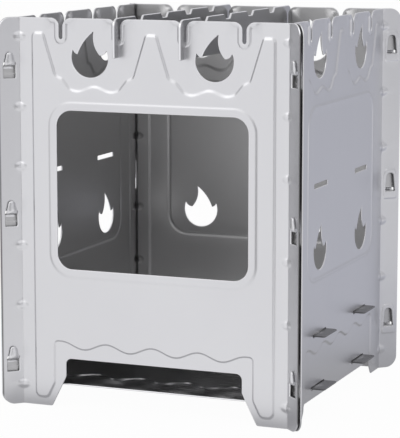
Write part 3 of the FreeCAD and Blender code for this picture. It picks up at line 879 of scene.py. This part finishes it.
def plate_outline():
    """A square plate with two tabs at each side."""
    side = INNER_HALF - PLATE_FREE
    tip = INNER_HALF + GAUGE + TAB_REACH
    corners = []
    for sign in (1, -1):
        corners.append((sign * side, -sign * side, PLATE_CORNER))
        for middle in (-sign * TAB_OFFSET, sign * TAB_OFFSET):
            near = middle - sign * TAB_HALF
            far = middle + sign * TAB_HALF
            corners += [(sign * side, near, 0), (sign * tip, near, TAB_CORNER),
                        (sign * tip, far, TAB_CORNER), (sign * side, far, 0)]
        corners.append((sign * side, sign * side, PLATE_CORNER))
    return soften(corners)


def circle(middle, radius):
    turns = [math.tau * k / CIRCLE_STEPS for k in range(CIRCLE_STEPS)]
    return [(middle[0] + radius * math.cos(turn), middle[1] + radius * math.sin(turn)) for turn in turns]


def lay_plate(level):
    """A function that lays the flat sheet's points at a level."""
    def place(across, along, out):
        return np.stack((across, along, level + out), axis=1)

    return place


def make_plate(name, level, sheet, material):
    """A plate of the stove; the tabs that stick out are rougher and painted dark as shade, with no painted
    edge highlight.
    """
    points, faces, painted_light = sheet.mesh_data(lay_plate(level))
    # The tabs beyond the panels are painted dark as shade and made rougher; their edges lose the painted
    # highlight
    painted_light["inner"] = ease((np.abs(points[:, 0]) - INNER_HALF) / GAUGE)
    painted_light["edge_light_and_shade"] *= 1 - painted_light["inner"]
    return make_piece(name, [(points, faces, painted_light)], material)


def stamp_waves(sheet):
    """The wavy bead along the tray's front and back edges, which droop beyond it."""
    places = np.arange(-TRAY_WAVE_END, TRAY_WAVE_END, EMBOSS_STEP)
    wave = TRAY_WAVE_LEVEL + TRAY_WAVE_RISE * np.cos(math.tau * places / WAVE_PITCH)
    paths = [list(zip(places, side * wave)) for side in (1, -1)]
    edge = INNER_HALF - PLATE_FREE

    def height(points):
        near = np.min([distance_to(points, path, closed=False) for path in paths], axis=0)
        beyond = np.clip((np.abs(points[:, 1]) - TRAY_WAVE_LEVEL) / (edge - TRAY_WAVE_LEVEL), 0, 1)
        return TRAY_BEAD_RISE * ease(1 - near / TRAY_BEAD_REACH) - TRAY_DROOP * beyond ** 2

    offsets = [TRAY_BEAD_REACH * share for share in BEAD_ROWS]
    rows = [rows_along(path, offsets, closed=False) for path in paths]
    levels = [side * level for side in (1, -1) for level in TRAY_DROOP_ROWS]
    rows += [np.stack((places, np.full(len(places), level)), axis=1) for level in levels]
    sheet.stamp(height, np.concatenate(rows))


def make_tray(material):
    sheet = Sheet(plate_outline(), [])
    stamp_waves(sheet)
    return make_plate("ash_tray_plate", TRAY_LEVEL, sheet, material)


def make_grate(material):
    """The grate, with a raised rim round each air hole."""
    steps = range(-GRATE_HOLES_EACH_WAY, GRATE_HOLES_EACH_WAY + 1)
    places = [(column * GRATE_PITCH, row * GRATE_PITCH) for column in steps for row in steps]
    holes = [circle(place, GRATE_HOLE) for place in places]
    sheet = Sheet(plate_outline(), holes)
    stamp_bead(sheet, soften(box(-PLATE_BEAD_HALF, PLATE_BEAD_HALF, -PLATE_BEAD_HALF, PLATE_BEAD_HALF,
                                 PLATE_BEAD_CORNER)))
    centres = np.array(places)

    def rim_height(points):
        reach = np.sqrt(((points[:, None] - centres) ** 2).sum(2)).min(1) - GRATE_HOLE
        return HOLE_RIM_RISE * ease(1 - reach / HOLE_RIM)

    rows = [point for place in places for gap in HOLE_RIM_ROWS
            for point in circle(place, GRATE_HOLE + gap)]
    sheet.stamp(rim_height, np.array(rows))
    return make_plate("fire_grate_plate", GRATE_LEVEL, sheet, material)


# Pot bars

def bar_outline():
    """Side view of a pot bar: teeth on top, a notch over each panel below."""
    bottom = BAR_TOP - BAR_DEPTH
    end = INNER_HALF + GAUGE + BAR_OVERHANG
    outer_wall = INNER_HALF + GAUGE + BAR_RIM_CLEAR + BAR_FREE
    inner_wall = INNER_HALF - BAR_FREE
    notch = [(inner_wall, bottom, NOTCH_MOUTH_ROUND), (inner_wall, BAR_SEAT, NOTCH_ROUND),
             (outer_wall, BAR_SEAT, NOTCH_ROUND), (outer_wall, bottom, NOTCH_MOUTH_ROUND),
             (end, bottom, BAR_TOE)]
    corners = mirror(notch) + notch + [(end, BAR_TOP, BAR_CORNER)]
    for place in TOOTH_GAPS:
        middle = place * TOOTH_PITCH
        corners += [(middle + TOOTH_MOUTH / 2, BAR_TOP, TOOTH_ROUND),
                    (middle + TOOTH_FLOOR / 2, BAR_TOP - TOOTH_DEPTH, TOOTH_ROUND),
                    (middle - TOOTH_FLOOR / 2, BAR_TOP - TOOTH_DEPTH, TOOTH_ROUND),
                    (middle - TOOTH_MOUTH / 2, BAR_TOP, TOOTH_ROUND)]
    corners.append((-end, BAR_TOP, BAR_CORNER))
    return soften(corners)


def make_bar(name, middle, material):
    def place(along, up, out):
        return np.stack((middle - BAR_GAUGE / 2 + out, along, up), axis=1)

    sheet = Sheet(bar_outline(), [], BAR_GAUGE)
    return make_piece(name, [sheet.mesh_data(place)], material)


# Materials

# The tone that flange tips are painted with as shade
TIP_SHADE_TONE = (0.10, 0.10, 0.10)
# The tone that edges are painted with as a highlight
EDGE_HIGHLIGHT_TONE = (0.84, 0.84, 0.85)
INNER_DULL = 0.08
GRAIN_SIZE = 1.0
GRAIN_ROUGHNESS = 0.6
GRAIN_RELIEF = 0.00005
CLOUD_SCALE = (1, 1, 1)
CLOUD_SIZE = 22.0
CLOUD_ROUGHNESS = 0.55
NOISE_DETAIL = 3.0


def node(tree, kind, **inputs):
    """A shader node with fixed inputs, named with underscores for spaces."""
    made = tree.nodes.new(kind)
    for name, value in inputs.items():
        made.inputs[name.replace("_", " ")].default_value = value
    return made


def blend_range(tree, source, low, high):
    """Map a 0 to 1 value onto a range."""
    mapped = node(tree, "ShaderNodeMapRange", To_Min=low, To_Max=high)
    tree.links.new(source, mapped.inputs["Value"])
    return mapped.outputs["Result"]


def ramp(tree, source, low, high):
    """A smooth 0 to 1 value between two levels of another."""
    made = node(tree, "ShaderNodeMapRange", From_Min=low, From_Max=high)
    made.interpolation_type = "SMOOTHSTEP"
    tree.links.new(source, made.inputs["Value"])
    return made.outputs["Result"]


def mix_tone(tree, share, first, second):
    """A colour between two others; each is a fixed tone or another node's output."""
    made = tree.nodes.new("ShaderNodeMix")
    made.data_type = "RGBA"
    tree.links.new(share, made.inputs["Factor"])
    for name, tone in (("A", first), ("B", second)):
        if isinstance(tone, tuple):
            made.inputs[name].default_value = (*tone, 1)
        else:
            tree.links.new(tone, made.inputs[name])
    return made.outputs["Result"]


def maths(tree, operation, first, second):
    """One operation on two values; the second is a fixed number or another node's output."""
    made = tree.nodes.new("ShaderNodeMath")
    made.operation = operation
    tree.links.new(first, made.inputs[0])
    if isinstance(second, float):
        made.inputs[1].default_value = second
    else:
        tree.links.new(second, made.inputs[1])
    return made.outputs["Value"]


def vector_value(tree, operation, source, other=None):
    """A length, or how far a vector goes along a fixed way."""
    made = tree.nodes.new("ShaderNodeVectorMath")
    made.operation = operation
    tree.links.new(source, made.inputs[0])
    if other is not None:
        made.inputs[1].default_value = other
    return made.outputs["Value"]


def axes(tree, source):
    made = tree.nodes.new("ShaderNodeSeparateXYZ")
    tree.links.new(source, made.inputs["Vector"])
    return made.outputs


def painted_light_value(tree, name):
    """A painted light or shade value that the mesh carries at its points."""
    made = tree.nodes.new("ShaderNodeAttribute")
    made.attribute_name = name
    return made.outputs["Fac"]


def noise(tree, place, scale, size, roughness):
    stretch = node(tree, "ShaderNodeMapping", Scale=scale)
    tree.links.new(place, stretch.inputs["Vector"])
    made = node(tree, "ShaderNodeTexNoise", Scale=size, Detail=NOISE_DETAIL, Roughness=roughness)
    tree.links.new(stretch.outputs["Vector"], made.inputs["Vector"])
    return made.outputs["Fac"]


def steel(name, colour, tint, inner, roughness, grain, bump):
    """Rolled sheet: fine grain, clouded tone, a rougher inner side painted darker as shade, edges painted
    bright as highlights and flange tips painted dark as shade.
    """
    material = bpy.data.materials.new(name)
    material.use_nodes = True
    tree = material.node_tree
    shader = tree.nodes["Principled BSDF"]
    shader.inputs["Metallic"].default_value = 1.0
    place = tree.nodes.new("ShaderNodeTexCoord").outputs["Object"]
    fine = noise(tree, place, grain, GRAIN_SIZE, GRAIN_ROUGHNESS)
    clouds = noise(tree, place, CLOUD_SCALE, CLOUD_SIZE, CLOUD_ROUGHNESS)

    outside = mix_tone(tree, clouds, colour, tint)
    # Inner faces and stuck-out plate tabs painted darker as shade
    sides = mix_tone(tree, painted_light_value(tree, "inner"), outside, inner)
    # Edges painted bright as highlights
    highlit_edges = mix_tone(tree, painted_light_value(tree, "edge_light_and_shade"), sides, EDGE_HIGHLIGHT_TONE)
    # Flange tips painted dark as the shade between flanges
    tip_shade = maths(tree, "MULTIPLY", painted_light_value(tree, "edge_light_and_shade"), -1.0)
    tone = mix_tone(tree, tip_shade, highlit_edges, TIP_SHADE_TONE)
    tree.links.new(tone, shader.inputs["Base Color"])

    mottle = maths(tree, "MULTIPLY", maths(tree, "ADD", fine, clouds), 0.5)
    worn = blend_range(tree, mottle, roughness[0], roughness[1])
    dulled = maths(tree, "MULTIPLY", painted_light_value(tree, "inner"), INNER_DULL)
    tree.links.new(maths(tree, "ADD", worn, dulled), shader.inputs["Roughness"])
    relief = node(tree, "ShaderNodeBump", Strength=bump, Distance=GRAIN_RELIEF)
    tree.links.new(fine, relief.inputs["Height"])
    tree.links.new(relief.outputs["Normal"], shader.inputs["Normal"])
    return material


# Studio: the tones that reflections find round the stove

FRONT_TONE = (1.02, 1.02, 1.04)
LEFT_TONE = (0.33, 0.33, 0.34)
RIGHT_TONE = (0.57, 0.58, 0.65)
LEFT_WALL = (0.22, 0.22, 0.225)
RIGHT_WALL = (0.58, 0.58, 0.61)
BACK_WALL = (0.46, 0.465, 0.51)
BACKDROP = (0.95, 0.95, 0.98)
TOP_TONE = (0.8, 0.8, 0.81)
# Painted shade on the floor close to the stove, seen only in reflections
NEAR_SHADE_TONE = (0.42, 0.42, 0.435)
SIDE_TONE = (0.76, 0.76, 0.78)
PATCH_TONE = (1.05, 1.05, 1.07)
DARK_TONE = (0.06, 0.06, 0.061)
FILL_TONE = (0.55, 0.55, 0.57)
FLOOR_TONE = (0.9, 0.9, 0.9)
WHITE = (1, 1, 1)
MIRROR_SHARE = 0.9
WHITE_SHARE = 0.97

# Ways across the studio; the dark strip runs toward the camera
FRONT_WAY = (-0.37, -0.93, 0.0)
FLOOR_WAY = (0.4, -0.92, 0.0)
BEFORE_WAY = (-0.1, -0.99, 0.0)
DARK_WAY = (0.37, -0.93, 0.0)
DARK_SIDE = (0.93, 0.37, 0.0)
PATCH_WAY = (0.707, -0.707, 0.0)

# Where one tone of the walls passes into the next, as shares of a direction
WALL_TURN = (-0.6, 0.4)
BACK_TURN = (0.2, 0.8)
BACKDROP_RISE = (0.12, 0.4)
FRONT_TURN = (0.48, 0.9)
DARK_TURN = (0.94, 0.99)
TOP_RISE = (0.25, 0.75)

# Where one tone of the floor passes into the next, in metres
BACK_ACROSS = (-0.2, 0.15)
SIDE_ACROSS = (0.35, 0.65)
FRONT_AHEAD = (0.0, 0.2)
BEFORE_AHEAD = (0.0, 0.1)
BEFORE_REACH = (0.3, 0.2)
PATCH_AHEAD = (0.0, 0.3)
PATCH_DEPTH = (-0.12, 0.02)
PATCH_ACROSS = (0.5, 0.8)
STRIP_ACROSS = (0.13, 0.05)
STRIP_AHEAD = (0.25, 0.4)
NEAR_REACH = (0.08, 0.25)
NEAR_DEPTH = (-0.082, -0.105)


def ray_kinds(tree):
    """Rays that see the white backdrop, and glossy rays that see the studio round it."""
    path = tree.nodes.new("ShaderNodeLightPath").outputs
    seen = maths(tree, "MAXIMUM", path["Is Camera Ray"], path["Is Transmission Ray"])
    return seen, path["Is Glossy Ray"]


def make_world():
    """White to the camera; in reflections a bright front, grey sides and a pale top; a soft fill."""
    world = bpy.data.worlds.new("Studio")
    bpy.context.scene.world = world
    world.use_nodes = True
    tree = world.node_tree
    tree.nodes.clear()
    seen, glossy = ray_kinds(tree)
    way = tree.nodes.new("ShaderNodeTexCoord").outputs["Generated"]
    part = axes(tree, way)
    sides = mix_tone(tree, ramp(tree, part["X"], *WALL_TURN), LEFT_WALL, RIGHT_WALL)
    behind = mix_tone(tree, ramp(tree, part["Z"], *BACKDROP_RISE), BACK_WALL, BACKDROP)
    sides = mix_tone(tree, ramp(tree, part["Y"], *BACK_TURN), sides, behind)
    front = ramp(tree, vector_value(tree, "DOT_PRODUCT", way, FRONT_WAY), *FRONT_TURN)
    round_about = mix_tone(tree, front, sides, FRONT_TONE)
    dark = ramp(tree, vector_value(tree, "DOT_PRODUCT", way, DARK_WAY), *DARK_TURN)
    round_about = mix_tone(tree, dark, round_about, DARK_TONE)
    studio = mix_tone(tree, ramp(tree, part["Z"], *TOP_RISE), round_about, TOP_TONE)
    tone = mix_tone(tree, seen, mix_tone(tree, glossy, FILL_TONE, studio), WHITE)
    background = tree.nodes.new("ShaderNodeBackground")
    tree.links.new(tone, background.inputs["Color"])
    output = tree.nodes.new("ShaderNodeOutputWorld")
    tree.links.new(background.outputs["Background"], output.inputs["Surface"])


def mix_shader(tree, share, first, second):
    made = tree.nodes.new("ShaderNodeMixShader")
    tree.links.new(share, made.inputs["Fac"])
    tree.links.new(first, made.inputs[1])
    tree.links.new(second, made.inputs[2])
    return made.outputs["Shader"]


def mirrored_tone(tree):
    """What reflections find on the floor: painted shade close by, dim at the back, bright in front, a dark
    strip.
    """
    place = tree.nodes.new("ShaderNodeNewGeometry").outputs["Position"]
    part = axes(tree, place)

    def along(way):
        return vector_value(tree, "DOT_PRODUCT", place, way)

    length = vector_value(tree, "LENGTH", place)
    aside = along(DARK_SIDE)
    back = mix_tone(tree, ramp(tree, part["X"], *BACK_ACROSS), LEFT_TONE, RIGHT_TONE)
    front = mix_tone(tree, ramp(tree, aside, *SIDE_ACROSS), FRONT_TONE, SIDE_TONE)
    before = maths(tree, "MULTIPLY", ramp(tree, along(BEFORE_WAY), *BEFORE_AHEAD),
                   ramp(tree, length, *BEFORE_REACH))
    ahead = maths(tree, "MAXIMUM", ramp(tree, along(FLOOR_WAY), *FRONT_AHEAD), before)
    far = mix_tone(tree, ahead, back, front)
    patch = maths(tree, "MULTIPLY", ramp(tree, along(PATCH_WAY), *PATCH_AHEAD),
                  ramp(tree, part["Y"], *PATCH_DEPTH))
    patch = maths(tree, "MULTIPLY", patch, ramp(tree, part["X"], *PATCH_ACROSS))
    far = mix_tone(tree, patch, far, PATCH_TONE)
    strip = maths(tree, "MULTIPLY", ramp(tree, maths(tree, "ABSOLUTE", aside, 0.0), *STRIP_ACROSS),
                  ramp(tree, along(DARK_WAY), *STRIP_AHEAD))
    far = mix_tone(tree, strip, far, DARK_TONE)
    # Close to the stove's foot the floor shows reflections a painted shade
    clear = maths(tree, "MAXIMUM", ramp(tree, length, *NEAR_REACH), ramp(tree, part["Y"], *NEAR_DEPTH))
    return mix_tone(tree, clear, NEAR_SHADE_TONE, far)


def floor_material():
    """A white floor that keeps a soft shadow; reflections find other tones on it."""
    material = bpy.data.materials.new("StudioFloor")
    material.use_nodes = True
    tree = material.node_tree
    tree.nodes.clear()
    seen, glossy = ray_kinds(tree)
    diffuse = node(tree, "ShaderNodeBsdfDiffuse", Color=(*FLOOR_TONE, 1))
    white = node(tree, "ShaderNodeEmission", Color=(*WHITE, 1), Strength=1.0)
    mirrored = node(tree, "ShaderNodeEmission", Strength=1.0)
    tree.links.new(mirrored_tone(tree), mirrored.inputs["Color"])
    gloss = mix_shader(tree, maths(tree, "MULTIPLY", glossy, MIRROR_SHARE),
                       diffuse.outputs["BSDF"], mirrored.outputs["Emission"])
    surface = mix_shader(tree, maths(tree, "MULTIPLY", seen, WHITE_SHARE), gloss, white.outputs["Emission"])
    output = tree.nodes.new("ShaderNodeOutputMaterial")
    tree.links.new(surface, output.inputs["Surface"])
    return material


FLOOR_HALF = 6.0
LIGHT_TARGET = Vector((0, 0, 0.1))


def make_floor():
    mesh = bpy.data.meshes.new("studio_floor")
    corners = [(-FLOOR_HALF, -FLOOR_HALF, 0), (FLOOR_HALF, -FLOOR_HALF, 0),
               (FLOOR_HALF, FLOOR_HALF, 0), (-FLOOR_HALF, FLOOR_HALF, 0)]
    mesh.from_pydata(corners, [], [(0, 1, 2, 3)])
    mesh.materials.append(floor_material())
    floor = bpy.data.objects.new("studio_floor", mesh)
    bpy.context.scene.collection.objects.link(floor)


def add_softbox(name, place, size, power):
    """A rectangular lamp that faces the stove."""
    lamp = bpy.data.lights.new(name, "AREA")
    lamp.shape = "RECTANGLE"
    lamp.size = size[0]
    lamp.size_y = size[1]
    lamp.energy = power
    holder = bpy.data.objects.new(name, lamp)
    holder.location = place
    holder.rotation_euler = (LIGHT_TARGET - Vector(place)).to_track_quat("-Z", "Y").to_euler()
    bpy.context.scene.collection.objects.link(holder)


# Camera, from the lines of the photograph; the frame is 400 by 438 pixels
CAMERA_AZIMUTH = math.radians(22.0)
CAMERA_ELEVATION = math.radians(8.75)
CAMERA_DISTANCE = 1.1
CAMERA_AIM_UP = 0.09026
CAMERA_AIM_RIGHT = -0.00372
FOCAL_PIXELS = 2063
FRAME_LONG_SIDE = 438
SENSOR = 36.0


def make_camera():
    """The camera stands in front, a little to the right, and looks slightly down."""
    right = Vector((math.cos(CAMERA_AZIMUTH), math.sin(CAMERA_AZIMUTH), 0))
    ahead = Vector((-math.sin(CAMERA_AZIMUTH) * math.cos(CAMERA_ELEVATION),
                    math.cos(CAMERA_AZIMUTH) * math.cos(CAMERA_ELEVATION), -math.sin(CAMERA_ELEVATION)))
    aim = Vector((0, 0, CAMERA_AIM_UP)) + right * CAMERA_AIM_RIGHT
    lens = bpy.data.cameras.new("camera")
    lens.sensor_width = SENSOR
    lens.lens = FOCAL_PIXELS / FRAME_LONG_SIDE * SENSOR
    camera = bpy.data.objects.new("camera", lens)
    camera.location = aim - ahead * CAMERA_DISTANCE
    camera.rotation_euler = ahead.to_track_quat("-Z", "Y").to_euler()
    bpy.context.scene.collection.objects.link(camera)
    bpy.context.scene.camera = camera


# The stove

# The colour given after the tint is painted shade: darker inside the panels, dark on the plates' tabs that
# stick out, and for the bars the same as their colour
panel_steel = steel("PanelSteel", colour=(0.68, 0.68, 0.695), tint=(0.73, 0.73, 0.74),
                    inner=(0.575, 0.573, 0.573), roughness=(0.30, 0.40), grain=(900, 900, 60), bump=0.12)
# The plate's dark colour after the tint is the painted shade of its tabs that stick out
plate_steel = steel("PlateSteel", colour=(0.62, 0.62, 0.63), tint=(0.68, 0.68, 0.685),
                    inner=(0.17, 0.17, 0.175), roughness=(0.20, 0.32), grain=(60, 900, 900), bump=0.08)
bar_steel = steel("BarSteel", colour=(0.48, 0.48, 0.49), tint=(0.54, 0.54, 0.55),
                  inner=(0.48, 0.48, 0.49), roughness=(0.24, 0.36), grain=(900, 60, 900), bump=0.12)

PIECES = [
    (make_front(panel_steel), "front_panel", "front_panel", "panel_steel"),
    (make_back(panel_steel), "back_panel", "back_panel", "panel_steel"),
    (make_side("stamped_right", 90, panel_steel), "frame", "right_panel", "panel_steel"),
    (make_side("stamped_left", -90, panel_steel), "frame", "left_panel", "panel_steel"),
    (make_grate(plate_steel), "frame", "fire_grate", "plate_steel"),
    (make_tray(plate_steel), "frame", "ash_tray", "plate_steel"),
    (make_bar("toothed_bar_left", LEFT_SLOT, bar_steel), "pot_bar_left", "pot_bar_left", "bar_steel"),
    (make_bar("toothed_bar_right", RIGHT_SLOT, bar_steel), "pot_bar_right", "pot_bar_right", "bar_steel"),
]
for piece, body, cad_node, slot in PIECES:
    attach(piece, body)
    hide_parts(cad_node)

make_world()
make_floor()
add_softbox("key", place=(-0.75, -1.25, 1.55), size=(1.3, 1.1), power=5)
add_softbox("fill", place=(1.3, -1.2, 1.0), size=(1.2, 1.2), power=2)
make_camera()
bpy.context.scene.view_settings.view_transform = "Standard"
